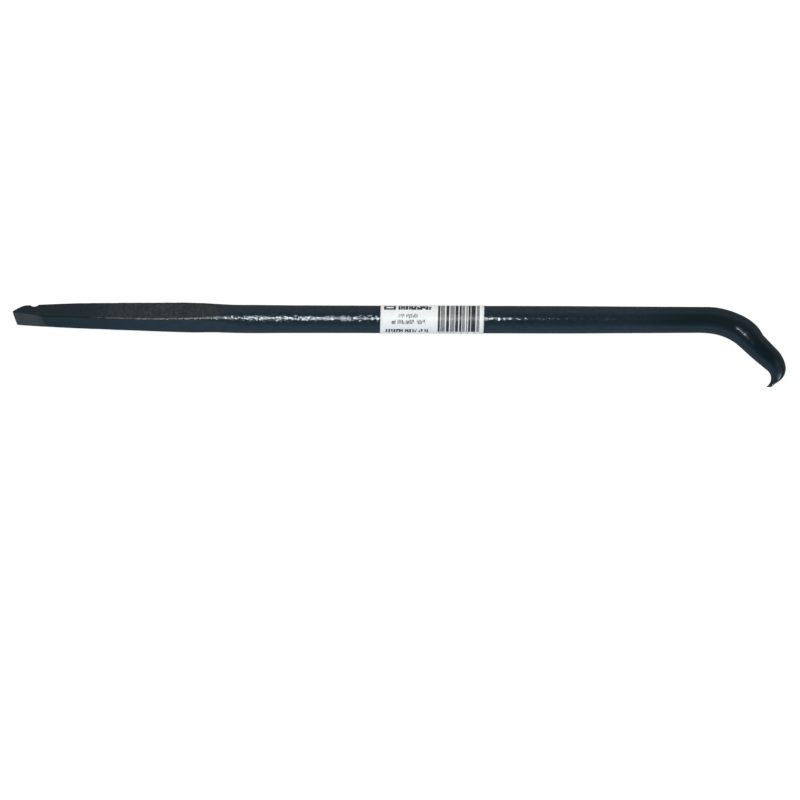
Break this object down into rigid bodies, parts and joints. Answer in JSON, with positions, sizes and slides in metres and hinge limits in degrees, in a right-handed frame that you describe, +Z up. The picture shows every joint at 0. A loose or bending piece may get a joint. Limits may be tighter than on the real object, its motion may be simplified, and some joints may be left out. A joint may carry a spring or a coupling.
{
  "type": "tyre lever",
  "caption": "One-piece forged rim lever with a four-sided chisel wedge at one end, a round shank with a paper label, and a gooseneck bend into a hooked claw.",
  "frame": {"origin": "bottom centre of the bounding box, with the tool lying on its side", "axes": "+X along the shank from the chisel edge to the claw, the claw points to -Y, and +Z is up, square to the plane of the bend"},
  "size_m": [0.4568, 0.0488, 0.019],
  "materials": {
    "blue_black_enamel": "semi-gloss dark blue-black enamel over rough, scaled forged steel, worn to bare metal at the chisel edge",
    "label_paper": null
  },
  "bodies": {
    "root": {"forged_lever": "blue_black_enamel", "paper_label": "label_paper"}
  },
  "joints": []
}
